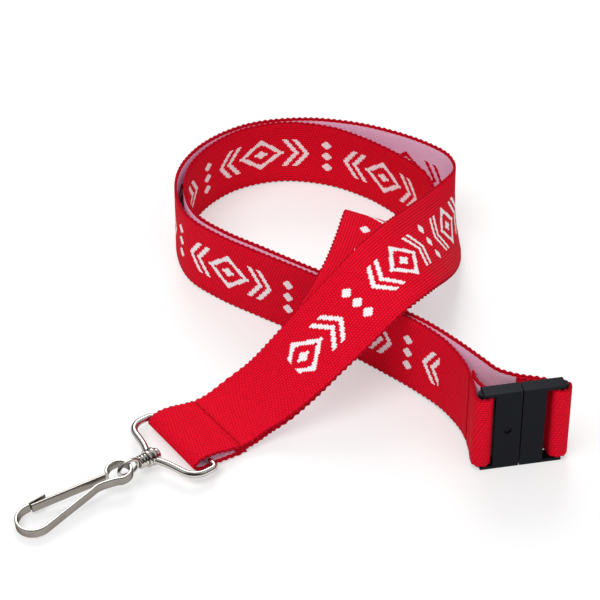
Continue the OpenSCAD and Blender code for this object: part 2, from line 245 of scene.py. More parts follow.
# Normals of the planes that wire and strip are bent in, and that the swivel's loop stands in
UPRIGHT = (0, 0, 1)
SIDEWAYS = (0, -1, 0)

# Faces that meet at more than this many degrees show an edge, on metal and thread, webbing and plastic
SHARP = 45
WEBBING_SHARP = 60
PLASTIC_SHARP = 30

# Merging: points this near in metres become one, and so do faces that meet at less than FLAT_WITHIN degrees
MERGE = 1e-6
FLAT_WITHIN = 1

# Moulded edges: where faces meet at more than ROUNDED_FROM degrees, the edge is rounded in this many facets
ROUNDED_FROM = 40
ROUND_SEGMENTS = 3

# Roughness of the glossy wire and of the rougher strip, where it is least, and how much of the painted
# highlight on the strip's rims the gate has
WIRE_ROUGHNESS = 0.05
STRIP_ROUGHNESS = 0.2
GATE_RIM_HIGHLIGHT = 0.3

# Studio: half the table's side in metres, then each lamp's azimuth and elevation in degrees, its strength,
# its spread in degrees, and whether metal mirrors it
TABLE_HALF = 3.0
LAMPS = {
    "key": (-85, 62, 1.6, 40, False),
    "back": (140, 42, 0.7, 30, True),
    "fill": (-20, 28, 0.9, 60, False),
}

# Sky: its brightness from low to high, and the share of it that is left on the camera's side, each with the
# range of height or of nearness to that side over which it changes
SKY_HEIGHT = {"From Min": 0.25, "From Max": 0.65, "To Min": 0.03, "To Max": 0.55}
SKY_SIDE = {"From Min": 0.6, "From Max": 0.9, "To Min": 1, "To Max": 0.1}


class StrapSettings(bpy.types.PropertyGroup):
    """Sizes and colours of the webbing and its thread."""

    width: FloatProperty(
        name="Width", description="Width of the webbing", default=0.025, unit="LENGTH", precision=4
    )
    thickness: FloatProperty(
        name="Thickness", description="Thickness of the webbing", default=0.0009, unit="LENGTH", precision=5
    )
    picot_pitch: FloatProperty(
        name="Picot Pitch", description="Distance between the weft loops of one edge", default=0.0019,
        unit="LENGTH", precision=5,
    )
    picot_depth: FloatProperty(
        name="Picot Depth", description="Height of a weft loop from its foot", default=0.0006,
        unit="LENGTH", precision=5,
    )
    red: FloatVectorProperty(
        name="Red", description="Colour of the red warp", subtype="COLOR", size=3,
        default=(0.73, 0.0045, 0.022),
    )
    white: FloatVectorProperty(
        name="White", description="Colour of the woven trim", subtype="COLOR", size=3,
        default=(1.0, 0.93, 0.96),
    )
    pale: FloatVectorProperty(
        name="Pale", description="Colour of the back of the webbing", subtype="COLOR", size=3,
        default=(1.0, 0.64, 0.82),
    )
    thread: FloatVectorProperty(
        name="Thread", description="Colour of the sewing thread", subtype="COLOR", size=3,
        default=(0.58, 0.0035, 0.016),
    )


class BuckleSettings(bpy.types.PropertyGroup):
    """Finish of the two buckle halves."""

    edge_radius: FloatProperty(
        name="Edge Radius", description="Radius of the moulded edges", default=0.00049, unit="LENGTH",
        precision=5,
    )
    plastic: FloatVectorProperty(
        name="Plastic", description="Colour of the moulded plastic", subtype="COLOR", size=3,
        default=(0.0045, 0.0048, 0.0064),
    )


class MetalSettings(bpy.types.PropertyGroup):
    """Sizes and colours of the wire and the strip."""

    wire_diameter: FloatProperty(
        name="Wire Diameter", description="Diameter of the ring's wire", default=0.002, unit="LENGTH",
        precision=4,
    )
    strip_height: FloatProperty(
        name="Strip Height", description="Height of the hook's strip", default=0.0028, unit="LENGTH",
        precision=4,
    )
    strip_thickness: FloatProperty(
        name="Strip Thickness", description="Thickness of the hook's strip", default=0.0009, unit="LENGTH",
        precision=4,
    )
    nickel: FloatVectorProperty(
        name="Nickel", description="Colour of the nickel plate", subtype="COLOR", size=3,
        default=(0.68, 0.65, 0.61),
    )
    # Painted shade: a darker colour on the sides of the strip, for the darker surroundings that they reflect
    painted_side_shade: FloatVectorProperty(
        name="Dull", description="Colour of the sides of the hook's strip", subtype="COLOR", size=3,
        default=(0.34, 0.31, 0.28),
    )


class StageSettings(bpy.types.PropertyGroup):
    """Camera and table."""

    azimuth: FloatProperty(
        name="Azimuth", description="Direction from which the camera looks", default=math.radians(-45),
        subtype="ANGLE",
    )
    elevation: FloatProperty(
        name="Elevation", description="Camera angle above the table", default=math.radians(38),
        subtype="ANGLE",
    )
    distance: FloatProperty(
        name="Distance", description="From the camera to the point it looks at", default=0.75, unit="LENGTH"
    )
    target: FloatVectorProperty(
        name="Target", description="Point on the table that the camera looks at", subtype="TRANSLATION",
        size=3, default=(0.0121, 0.0936, 0),
    )
    lens: FloatProperty(
        name="Lens", description="Focal length on a 36 mm sensor", default=146.25, unit="CAMERA"
    )
    table: FloatVectorProperty(
        name="Table", description="Colour of the table", subtype="COLOR", size=3, default=(0.97, 0.97, 0.97)
    )
    glow: FloatProperty(
        name="Glow", description="Share of even white in the table as it is seen, which lightens its shadows",
        default=0.45, subtype="FACTOR",
    )


class Shade:
    """One output socket of a node tree: arithmetic on it adds Math nodes, and node() adds any other node."""

    def __init__(self, tree, socket=None):
        self.tree = tree
        self.socket = socket

    def feed(self, node, inputs):
        """Sets or links the named or numbered inputs of a node."""
        for key, value in inputs.items():
            if isinstance(value, Shade):
                self.tree.links.new(value.socket, node.inputs[key])
            else:
                node.inputs[key].default_value = value

    def node(self, kind, settings=None, inputs=None, output=0):
        """Adds a node, its settings first and then its inputs, and gives one of its outputs."""
        made = self.tree.nodes.new(kind)
        for name, value in (settings or {}).items():
            setattr(made, name, value)
        self.feed(made, inputs or {})
        return Shade(self.tree, made.outputs[output])

    def other(self, output):
        """Another output of the same node."""
        return Shade(self.tree, self.socket.node.outputs[output])

    def maths(self, operation, *values):
        """A Math node on this value and any others."""
        return self.node("ShaderNodeMath", {"operation": operation}, dict(enumerate((self, *values))))

    def __add__(self, value):
        return self.maths("ADD", value)

    def __mul__(self, value):
        return self.maths("MULTIPLY", value)

    def __sub__(self, value):
        return self.maths("SUBTRACT", value)

    def __rsub__(self, value):
        return self * -1 + value

    def __truediv__(self, value):
        return self.maths("DIVIDE", value)

    def __mod__(self, value):
        return self.maths("FLOORED_MODULO", value)

    def __lt__(self, value):
        return self.maths("LESS_THAN", value)

    def __gt__(self, value):
        return self.maths("GREATER_THAN", value)

    def __abs__(self):
        return self.maths("ABSOLUTE")

    __radd__ = __add__
    __rmul__ = __mul__

    def floor(self):
        return self.maths("FLOOR")

    def either(self, value):
        """The larger of two values, which is 1 where either mask is."""
        return self.maths("MAXIMUM", value)

    def steps(self, pitch):
        """The middle of the step of this pitch that the value falls in."""
        return ((self / pitch).floor() + 0.5) * pitch

    def wave(self, pitch):
        """A cosine of this pitch, from 0 to 1."""
        return (self * (math.tau / pitch)).maths("COSINE") * 0.5 + 0.5

    def mix(self, first, second):
        """The first colour where this is 0 and the second where it is 1."""
        inputs = {0: self, 6: colour(first), 7: colour(second)}
        return self.node("ShaderNodeMix", {"data_type": "RGBA"}, inputs, output=2)

    def shades(self, value, dark, light):
        """A colour at its dark share where this is 0 and at its light share where it is 1."""
        return self.mix(dimmed(value, dark), dimmed(value, light))

    def noise(self, scale, detail=2):
        """Noise over the object's own coordinates."""
        place = self.node("ShaderNodeTexCoord", output="Object")
        return self.node("ShaderNodeTexNoise", None, {"Vector": place, "Scale": scale, "Detail": detail})

    def bump(self, strength, distance):
        """A normal bent by this height."""
        inputs = {"Height": self, "Strength": strength, "Distance": distance}
        return self.node("ShaderNodeBump", None, inputs)


def colour(value):
    """A colour socket as it is, or three numbers with an alpha of one."""
    return value if isinstance(value, Shade) else (*value[:3], 1)


def dimmed(value, share):
    """A colour's three numbers times a share."""
    return tuple(channel * share for channel in value[:3])


def start_material(name):
    """A new material, its shader and a blank to build its nodes from."""
    material = bpy.data.materials.new(name)
    material.use_nodes = True
    shader = material.node_tree.nodes["Principled BSDF"]
    return material, shader, Shade(material.node_tree)


def webbing_trim(across, along):
    """White trim in woven steps: the outline of a lozenge with its core, a pair of chevrons on both sides,
    and a row of three small lozenges at each end of the repeat. A lozenge is where the shares of its half
    length and half height add up to less than one, and a chevron is a band round a slanting line."""
    height = abs(across.steps(STEP_ACROSS))
    spot = abs((along.steps(STEP_ALONG) % TRIM_REPEAT) - TRIM_REPEAT / 2)
    share = spot / LOZENGE_HALF[0] + height / LOZENGE_HALF[1]
    outline = (share > LOZENGE_RIM) * (share < 1)
    core = share < LOZENGE_CORE
    slanted = abs(spot + height * CHEVRON_SLANT - CHEVRON_PLACE)
    chevrons = (abs(slanted - CHEVRON_APART / 2) < CHEVRON_HALF) * (height < CHEVRON_HEIGHT)
    from_end = TRIM_REPEAT / 2 - spot
    from_row = abs(abs(height - SMALL_PITCH / 2) - SMALL_PITCH / 2)
    small = from_end / SMALL_HALF[0] + from_row / SMALL_HALF[1] < 1
    return outline.either(core).either(chevrons).either(small)


def webbing_material(name, settings):
    """Twill: warp threads side by side, half sines across, each rising and dipping over the weft as a cosine,
    a third of a step behind the last one. The face is red with white trim, and the back is pale with red trim
    and red rims."""
    material, shader, blank = start_material(name)
    place = blank.node("ShaderNodeAttribute", {"attribute_name": "strap"}, output="Vector")
    across = blank.node("ShaderNodeSeparateXYZ", None, {0: place})
    along = across.other("Y")
    face = across.other("Z")
    trimmed = blank.node("ShaderNodeAttribute", {"attribute_name": "trimmed"}, output="Fac")
    half_width = settings.width / MM / 2

    weft = settings.picot_pitch / MM / 2
    column = across / WARP_PITCH
    thread = abs((column * math.pi).maths("SINE"))
    rise = (along - column.floor() * (weft / TWILL_THREADS)).wave(weft)
    weave = thread * (rise * WARP_DIP + (1 - WARP_DIP))
    mottle = blank.noise(900)
    # Painted shade in the weave's grooves and painted highlight on its crowns, with a random mottle of tone
    painted_weave_shade_and_mottle = weave * 0.8 + mottle * 0.35

    trim = webbing_trim(across, along) * trimmed
    rim = abs(across) > half_width - DARK_RIM
    red = rim.mix(painted_weave_shade_and_mottle.shades(settings.red, 0.5, 1.35), painted_weave_shade_and_mottle.shades(settings.red, 0.3, 0.75))
    white = painted_weave_shade_and_mottle.shades(settings.white, 0.85, 1)
    pale = painted_weave_shade_and_mottle.shades(settings.pale, 0.8, 1)
    inner = abs(across) < half_width - RED_RIM
    back = (face < BACK_STARTS) * inner
    blank.feed(shader, {
        "Base Color": back.mix(trim.mix(red, white), trim.mix(pale, red)),
        "Roughness": 0.85 - weave * 0.2,
        "Normal": (weave + trim * 0.25 + mottle * 0.3).bump(0.6, 0.00014),
        "Specular IOR Level": 0.04,
    })
    return material


def thread_material(name, settings):
    """Twisted sewing thread: fine slanting strands over a dark red."""
    material, shader, blank = start_material(name)
    place = blank.node("ShaderNodeTexCoord", output="Object")
    twist = {"Vector": place, "Scale": 900, "Distortion": 1.5}
    strands = blank.node("ShaderNodeTexWave", {"bands_direction": "DIAGONAL"}, twist, "Fac")
    blank.feed(shader, {
        "Base Color": strands.shades(settings.thread, 0.6, 1.3),
        "Roughness": 0.7 - strands * 0.15,
        "Normal": strands.bump(0.4, 0.00005),
        "Specular IOR Level": 0.08,
    })
    return material


def plastic_material(name, settings):
    """Moulded black plastic with a fine satin grain and faint wear."""
    material, shader, blank = start_material(name)
    grain = blank.noise(4500)
    wear = blank.noise(120, 5)
    blank.feed(shader, {
        "Base Color": wear.shades(settings.plastic, 0.75, 1.3),
        "Roughness": wear * 0.16 + 0.32,
        "Normal": grain.bump(0.12, 0.00004),
        "Specular IOR Level": 0.12,
        "Specular Tint": (0.75, 0.8, 1, 1),
    })
    return material


def nickel_material(name, settings, side, roughness):
    """Nickel plate: a metal whose polish varies a little, with fine pits. Where the mesh has rims, they get a
    painted highlight in the nickel's colour, and the sides between them a darker colour as painted shade."""
    material, shader, blank = start_material(name)
    polish = blank.noise(260, 4)
    pits = blank.noise(3000)
    # Painted highlight on the rims in the nickel's colour, and painted shade on the sides between them
    rim = blank.node("ShaderNodeAttribute", {"attribute_name": "rim"}, output="Fac")
    blank.feed(shader, {
        "Base Color": rim.mix(polish.shades(side, 0.8, 1.2), settings.nickel),
        "Metallic": 1.0,
        "Specular Tint": colour(dimmed(settings.nickel, 0.35)),
        "Roughness": polish * 0.12 + roughness,
        "Normal": pits.bump(0.06, 0.00003),
    })
    return material


def shared_material(name, build, *values):
    """The material of that name, built the first time it is asked for."""
    return bpy.data.materials.get(name) or build(name, *values)


def wire_nickel(settings):
    """The bright nickel that the ring and the swivel share."""
    return shared_material("nickel wire", nickel_material, settings, settings.nickel, WIRE_ROUGHNESS)


def unit(vectors):
    """Each vector at length one."""
    return vectors / np.linalg.norm(vectors, axis=-1, keepdims=True)


def travelled(points):
    """Distance along a path at each of its points."""
    return np.concatenate([[0], np.cumsum(np.linalg.norm(np.diff(points, axis=0), axis=1))])


def evenly(rows, pitch):
    """The path through the rows sampled afresh at an even pitch, and how far along it each sample lies;
    columns past the third ride along."""
    along = travelled(rows[:, :3])
    at = np.linspace(0, along[-1], int(round(along[-1] / pitch)) + 1)
    return np.stack([np.interp(at, along, column) for column in rows.T], axis=1), at


def spline(rows, steps):
    """Centripetal spline through every row: each span mixes its four nearest rows three times over, with
    knots spaced by the square root of the distance between their points."""
    held = np.vstack([2 * rows[:1] - rows[1:2], rows, 2 * rows[-1:] - rows[-2:-1]])
    four = np.stack([held[i:len(held) - 3 + i] for i in range(4)])
    gaps = np.sqrt(np.linalg.norm(np.diff(four[..., :3], axis=0), axis=-1))
    knot = np.concatenate([np.zeros_like(gaps[:1]), np.cumsum(gaps, axis=0)])[:, :, None, None]
    at = knot[1] + (knot[2] - knot[1]) * (np.arange(steps) / steps)[None, :, None]

    def mixed(first, second, start, end):
        return first * (end - at) / (end - start) + second * (at - start) / (end - start)

    row = four[:, :, None, :]
    near = [mixed(row[i], row[i + 1], knot[i], knot[i + 1]) for i in range(3)]
    wide = [mixed(near[i], near[i + 1], knot[i], knot[i + 2]) for i in range(2)]
    curve = mixed(wide[0], wide[1], knot[1], knot[2])
    return np.vstack([curve.reshape(-1, rows.shape[1]), rows[-1:]])


def arc(centre, radius, start, end, count=24):
    """Points of an arc in the plane, from one angle to another in degrees, as x, y and zero height."""
    angle = np.radians(np.linspace(start, end, count))
    x = centre[0] + radius * np.cos(angle)
    y = centre[1] + radius * np.sin(angle)
    return np.stack([x, y, 0 * angle], axis=1)


def circle(radius, points):
    """Outline of a round wire: even points on a circle."""
    angle = np.linspace(0, math.tau, points, endpoint=False)
    return radius * np.stack([np.cos(angle), np.sin(angle)], axis=1)


def rounded_rectangle(width, height, radius, points=5):
    """Outline of a strip: four quarter rounds, each set in from its corner by the radius."""
    quarter = np.linspace(0, math.pi / 2, points)
    angle = (np.arange(4)[:, None] * math.pi / 2 + quarter).ravel()
    corner = np.array([[1, 1], [-1, 1], [-1, -1], [1, -1]]) * [width / 2 - radius, height / 2 - radius]
    return np.repeat(corner, points, axis=0) + radius * np.stack([np.cos(angle), np.sin(angle)], axis=1)


def skin(rings, closed=False):
    """Skin over rings of points, shape (rings, points, 3): four sided faces join each ring to the next.
    Closed skins join the last ring to the first, and open ones get a face over each end."""
    count, points = rings.shape[:2]
    index = np.arange(count * points).reshape(count, points)
    this = index if closed else index[:-1]
    following = np.roll(index, -1, axis=0)[:len(this)]
    quads = np.stack([this, following, np.roll(following, -1, axis=1), np.roll(this, -1, axis=1)], axis=-1)
    ends = [] if closed else [index[0, ::-1].tolist(), index[-1].tolist()]
    return rings.reshape(-1, 3), quads.reshape(-1, 4).tolist() + ends


def joined(*skins):
    """Several skins as one: each counts its points from where its own begin."""
    points = np.vstack([one[0] for one in skins])
    starts = np.cumsum([0] + [len(one[0]) for one in skins])
    faces = [[corner + start for corner in face] for one, start in zip(skins, starts) for face in one[1]]
    return points, faces


def carried(path, outline, up, closed=False):
    """An outline carried along a path in a plane: its first axis lies in the plane square to the path, and
    its second is the plane's normal."""
    if closed:
        direction = unit(np.roll(path, -1, axis=0) - np.roll(path, 1, axis=0))
    else:
        direction = unit(np.gradient(path, axis=0))
    aside = np.cross(up, direction)
    rings = path[:, None] + aside[:, None] * outline[None, :, :1] + np.asarray(up) * outline[None, :, 1:]
    return skin(rings, closed)


def turned(profile, closed=False, points=40):
    """A profile of x and radius turned round the x axis."""
    angle = np.linspace(0, math.tau, points, endpoint=False)
    x = np.repeat(profile[:, :1], points, axis=1)
    rings = np.stack([x, profile[:, 1:] * np.cos(angle), profile[:, 1:] * np.sin(angle)], axis=-1)
    return skin(rings, closed)


def placed(points, axes, origin):
    """Local millimetres as metres in the part's frame; the axes are rows."""
    return points * MM @ axes + origin


def settle_mesh(mesh, sharp, merge):
    """Turns the faces outwards and shades them smooth up to the sharp angle; with a merge distance the
    doubles go first and flat neighbours become one face."""
    work = bmesh.new()
    work.from_mesh(mesh)
    if merge:
        bmesh.ops.remove_doubles(work, verts=work.verts, dist=merge)
        flat = math.radians(FLAT_WITHIN)
        bmesh.ops.dissolve_limit(work, angle_limit=flat, verts=work.verts, edges=work.edges)
    bmesh.ops.recalc_face_normals(work, faces=work.faces)
    work.to_mesh(mesh)
    work.free()
    mesh.shade_smooth()
    mesh.set_sharp_from_angle(angle=math.radians(sharp))


def add_piece(name, body, shape, material, replaced, sharp=SHARP, merge=0.0):
    """Puts a skin in metres into a mesh object with outward faces that stands for CAD nodes. It rides on the
    body, or on none where the caller blends it between two."""
    points, faces = shape
    mesh = bpy.data.meshes.new(name)
    mesh.from_pydata(points.tolist(), [], faces)
    settle_mesh(mesh, sharp, merge)
    piece = bpy.data.objects.new(name, mesh)
    bpy.context.scene.collection.objects.link(piece)
    mesh.materials.append(material)
    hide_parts(*replaced)
    if body:
        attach(piece, body)
    return piece


def wrap_stations(points, bar, rise):
    """Stations beside a buckle bar, where the webbing stands upright: plan points turned with the buckle."""
    turn = math.radians(BUCKLE_TURN)
    local = np.array(points) + [bar + SOCKET_LENGTH / 2, 0]
    turning = np.array([[math.cos(turn), math.sin(turn)], [-math.sin(turn), math.cos(turn)]])
    upright = np.tile([BUCKLE_MID_Z, 0, rise], (len(local), 1))
    return np.hstack([local @ turning, upright])


def route_rows(stations, wrap):
    """Rows of middle point and left edge direction for every station of a run. The direction is the cosine
    of the rise along the azimuth and its sine upwards."""
    table = np.vstack([np.array(stations, float), wrap])
    azimuth, rise = np.radians(table[:, 3:]).T
    edge = np.stack([np.cos(rise) * np.cos(azimuth), np.cos(rise) * np.sin(azimuth), np.sin(rise)], axis=1)
    return np.hstack([table[:, :3], edge])


def front_rows():
    """Rows of the run that ends round the socket's bar."""
    return route_rows(FRONT_STATIONS, wrap_stations(FRONT_WRAP, SOCKET_BAR, 90))


def rear_rows():
    """Rows of the run that ends round the plug's bar."""
    return route_rows(REAR_STATIONS, wrap_stations(REAR_WRAP, PLUG_BAR, -90))


def strap_frames(rows):
    """Middle, direction, left edge direction and face normal at each row of a run: the left edge is squared
    to the direction, and the normal is square to both."""
    middle = rows[:, :3]
    direction = unit(np.gradient(middle, axis=0))
    left = rows[:, 3:]
    left = unit(left - (left * direction).sum(axis=1, keepdims=True) * direction)
    return middle, direction, left, np.cross(direction, left)


def strap_outline(settings):
    """Closed outline of the webbing: red face from left to right, round right edge, pale face back again and
    round left edge. Gives the distance across, the distance out of the middle, and a share that is 1 on the
    red face and -1 on the pale one."""
    radius = settings.thickness / MM / 2
    flat = np.linspace(1, -1, FACE_POINTS) * (settings.width / MM / 2 - radius)
    turn = np.linspace(math.pi / 2, -math.pi / 2, EDGE_POINTS + 2)[1:-1]
    edge = np.cos(turn) * radius
    across = np.concatenate([flat, flat[-1] - edge, flat[::-1], flat[0] + edge])
    share = np.concatenate([np.ones(FACE_POINTS), np.sin(turn), -np.ones(FACE_POINTS), -np.sin(turn)])
    return across, share * radius, share


def strap_piece(name, body, rows, settings, seams, bare, replaced):
    """Webbing: the outline carried along the even rows of a run, with weft loops along both edges, half a
    pitch apart and a squared sine in outline, and a shallow groove, a bell curve, where each seam pulls the
    red face in."""
    fine, along = evenly(spline(rows, FINE_STEPS), ROW_PITCH)
    middle, _, left, normal = strap_frames(fine)
    across, out, face = strap_outline(settings)
    phase = along[:, None] / (settings.picot_pitch / MM) + np.where(across > 0, 0, 0.5)
    loop = np.sin(math.pi * phase) ** 2 - LOOP_INSET
    root = np.clip((np.abs(across) - settings.width / MM / 2 + LOOP_ROOT) / LOOP_ROOT, 0, 1)
    wide = across + np.sign(across) * root * loop * settings.picot_depth / MM
    groove = sum(np.exp(-(((along - seam) / GROOVE_HALF) ** 2)) for seam in seams)
    deep = out - GROOVE_DEPTH * groove[:, None] * np.maximum(face, 0)
    rings = middle[:, None] + left[:, None] * wide[..., None] + normal[:, None] * deep[..., None]
    material = shared_material("woven webbing", webbing_material, settings)
    piece = add_piece(name, body, skin(rings * MM), material, replaced, WEBBING_SHARP)

    count = len(along)
    place = np.stack([
        np.tile(across, count),
        np.repeat(along, len(across)),
        np.tile(face, count),
    ], axis=1)
    trimmed = np.repeat((along > bare[0]) & (along < along[-1] - bare[1]), len(across))
    attributes = piece.data.attributes
    attributes.new("strap", "FLOAT_VECTOR", "POINT").data.foreach_set("vector", place.ravel())
    attributes.new("trimmed", "FLOAT", "POINT").data.foreach_set("value", trimmed.astype(float))
    return piece


def seam_distance(rows, station):
    """How far along a run a seam lies, measured on its smooth route."""
    return travelled(spline(rows, FINE_STEPS)[:, :3])[int(station * FINE_STEPS)]


def stitch_row(settings, rows, station, count):
    """Stitches across the webbing at one seam, from the right edge leftwards: each a blunt egg about the line
    across, whose girth is a power of the cosine along it, half sunk in the red face."""
    row = int(station * SEAM_STEPS)
    middle, direction, left, normal = (part[row] for part in strap_frames(spline(rows, SEAM_STEPS)))
    swing = np.linspace(-math.pi / 2, math.pi / 2, STITCH_POINTS)
    angle = np.linspace(0, math.tau, STITCH_POINTS, endpoint=False)
    girth = np.cos(swing)[:, None] ** STITCH_BLUNTNESS
    local = np.stack([
        girth * np.cos(angle) * STITCH_HALF[0],
        np.repeat(np.sin(swing)[:, None], len(angle), axis=1) * STITCH_HALF[1],
        girth * np.sin(angle) * STITCH_HALF[2],
    ], axis=-1)
    lift = settings.thickness / MM / 2
    shifts = (np.arange(count) - (STITCHES - 1) / 2) * STITCH_PITCH
    rings = local @ np.stack([direction, left, normal]) + middle + normal * lift
    return [skin((rings + left * shift) * MM) for shift in shifts]


class LANYARD_OT_straps(bpy.types.Operator):
    """Weave both runs of the strap"""

    bl_idname = "lanyard.straps"
    bl_label = "Straps"

    def execute(self, context):
        settings = context.scene.lanyard_strap
        front = front_rows()
        rear = rear_rows()
        front_seams = [seam_distance(front, station) for station in (RING_SEAM, FRONT_END_SEAM)]
        rear_seams = [seam_distance(rear, REAR_END_SEAM)]
        strap_piece("front_webbing", "strap", front, settings, front_seams, FRONT_BARE, ["front_strap"])
        nodes = ["rear_strap", "rear_strap_end"]
        piece = strap_piece("rear_webbing", None, rear, settings, rear_seams, REAR_BARE, nodes)
        start, end = (Vector(REAR_STATIONS[station][:3]) * MM for station in STRETCH)
        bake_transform(piece, "strap", "plug", start=start, end=end)
        return {"FINISHED"}


class LANYARD_OT_seams(bpy.types.Operator):
    """Sew the seams at the ring and at both buckle bars"""

    bl_idname = "lanyard.seams"
    bl_label = "Seams"

    def execute(self, context):
        settings = context.scene.lanyard_strap
        material = shared_material("sewing thread", thread_material, settings)
        front = front_rows()
        rear = rear_rows()
        at_ring = stitch_row(settings, front, RING_SEAM, STITCHES)
        tacks = stitch_row(settings, front, TACK, TACK_STITCHES)
        at_socket = stitch_row(settings, front, FRONT_END_SEAM, STITCHES)
        at_plug = stitch_row(settings, rear, REAR_END_SEAM, STITCHES)
        for name, body, stitches, node in (
            ("ring_stitching", "strap", at_ring + tacks, "ring_seam"),
            ("front_end_stitching", "strap", at_socket, "front_end_seam"),
            ("rear_end_stitching", "plug", at_plug, "rear_end_seam"),
        ):
            # Each end of a stitch is a ring of doubles, which merge into one point
            add_piece(name, body, joined(*stitches), material, [node], merge=MERGE)
        return {"FINISHED"}


def node_skin(node):
    """A CAD node's own points, in metres, and its loose triangles."""
    mesh = frame["nodes"][node].data
    points = np.empty(len(mesh.vertices) * 3)
    mesh.vertices.foreach_get("co", points)
    return points.reshape(-1, 3), [tuple(face.vertices) for face in mesh.polygons]


class LANYARD_OT_buckle(bpy.types.Operator):
    """Round the moulded edges of the buckle halves"""

    bl_idname = "lanyard.buckle"
    bl_label = "Buckle"

    def execute(self, context):
        settings = context.scene.lanyard_buckle
        material = shared_material("buckle plastic", plastic_material, settings)
        for node, name, body in (
            ("buckle_socket", "socket_half", "strap"),
            ("buckle_plug", "plug_half", "plug"),
        ):
            shape = node_skin(node)
            piece = add_piece(name, body, shape, material, [node], PLASTIC_SHARP, MERGE)
            bevel = piece.modifiers.new("moulded edge", "BEVEL")
            bevel.width = settings.edge_radius
            bevel.segments = ROUND_SEGMENTS
            bevel.limit_method = "ANGLE"
            bevel.angle_limit = math.radians(ROUNDED_FROM)
            bevel.harden_normals = True
        return {"FINISHED"}


def joint_place(name):
    """Origin of a joint in metres."""
    return np.array(joints[name]["pos_m"])


def ring_axes():
    """The ring's own axes as rows: out along the swivel, along the bar, and square to both."""
    out = unit(np.array(joints["hook_swivel"]["axis"]))
    bar = -unit(np.array(joints["ring_tilt"]["axis"]))
    return np.stack([out, bar, np.cross(out, bar)])


def hook_axes():
    """The hook's own axes as rows, from the hinge of its gate as seen from the hinge of its ring."""
    up = unit(np.array(joints["hook_swing"]["axis"]))
    root = unit(joint_place("gate_press") - joint_place("hook_swing"))
    turn = -math.atan2(GATE_ROOT[1], GATE_ROOT[0])
    ahead = root * math.cos(turn) + np.cross(up, root) * math.sin(turn)
    return np.stack([ahead, np.cross(up, ahead), up])


def ring_path():
    """Middle line of the ring's wire. Half of the D is a tight bend at the end of the bar, the side, the
    corner and the limb, which turns in to the eye clear of the pin's head; the other half is its mirror."""
    slope = math.radians(LIMB_SLOPE)
    corner = (SIDE_LENGTH, RING_HALF - CORNER_BEND)
    limb = arc(corner, CORNER_BEND, LIMB_SLOPE, LIMB_SLOPE, 1)[0]
    reach = (limb[1] - LIMB_TURN) / math.cos(slope)
    turn = limb + reach * np.array([math.sin(slope), -math.cos(slope), 0])
    half = np.vstack([
        arc((BAR_BEND, RING_HALF - BAR_BEND), BAR_BEND, 180, 90),
        arc(corner, CORNER_BEND, 90, LIMB_SLOPE),
        turn,
        [RING_DEPTH, EYE_JOIN, 0],
    ])
    mirror = half[::-1] * [1, -1, 1]
    return evenly(spline(np.vstack([mirror, half]), WIRE_STEPS), BENT_PITCH)[0]


def rounded_sleeve(start, length, outer, inner, edge):
    """Closed profile of a ring about the x axis, with its outer edges rounded."""
    first = arc((start + edge, outer - edge), edge, 180, 90, SLEEVE_POINTS)[:, :2]
    second = arc((start + length - edge, outer - edge), edge, 90, 0, SLEEVE_POINTS)[:, :2]
    bore = [[start + length, inner], [start, inner]]
    return np.vstack([first, second, bore])


class LANYARD_OT_ring(bpy.types.Operator):
    """Bend the D ring's wire and set its eye"""

    bl_idname = "lanyard.ring"
    bl_label = "D Ring"

    def execute(self, context):
        settings = context.scene.lanyard_metal
        wire = carried(ring_path(), circle(settings.wire_diameter / MM / 2, WIRE_POINTS), UPRIGHT)
        start = RING_DEPTH - BOSS_LENGTH / 2
        sleeve = rounded_sleeve(start, BOSS_LENGTH, BOSS_RADIUS, PIN_RADIUS + RUN_GAP, BOSS_EDGE)
        points, faces = joined(wire, turned(sleeve, closed=True))
        shape = placed(points, ring_axes(), joint_place("ring_tilt")), faces
        add_piece("d_ring_wire", "ring", shape, wire_nickel(settings), ["d_ring"])
        return {"FINISHED"}


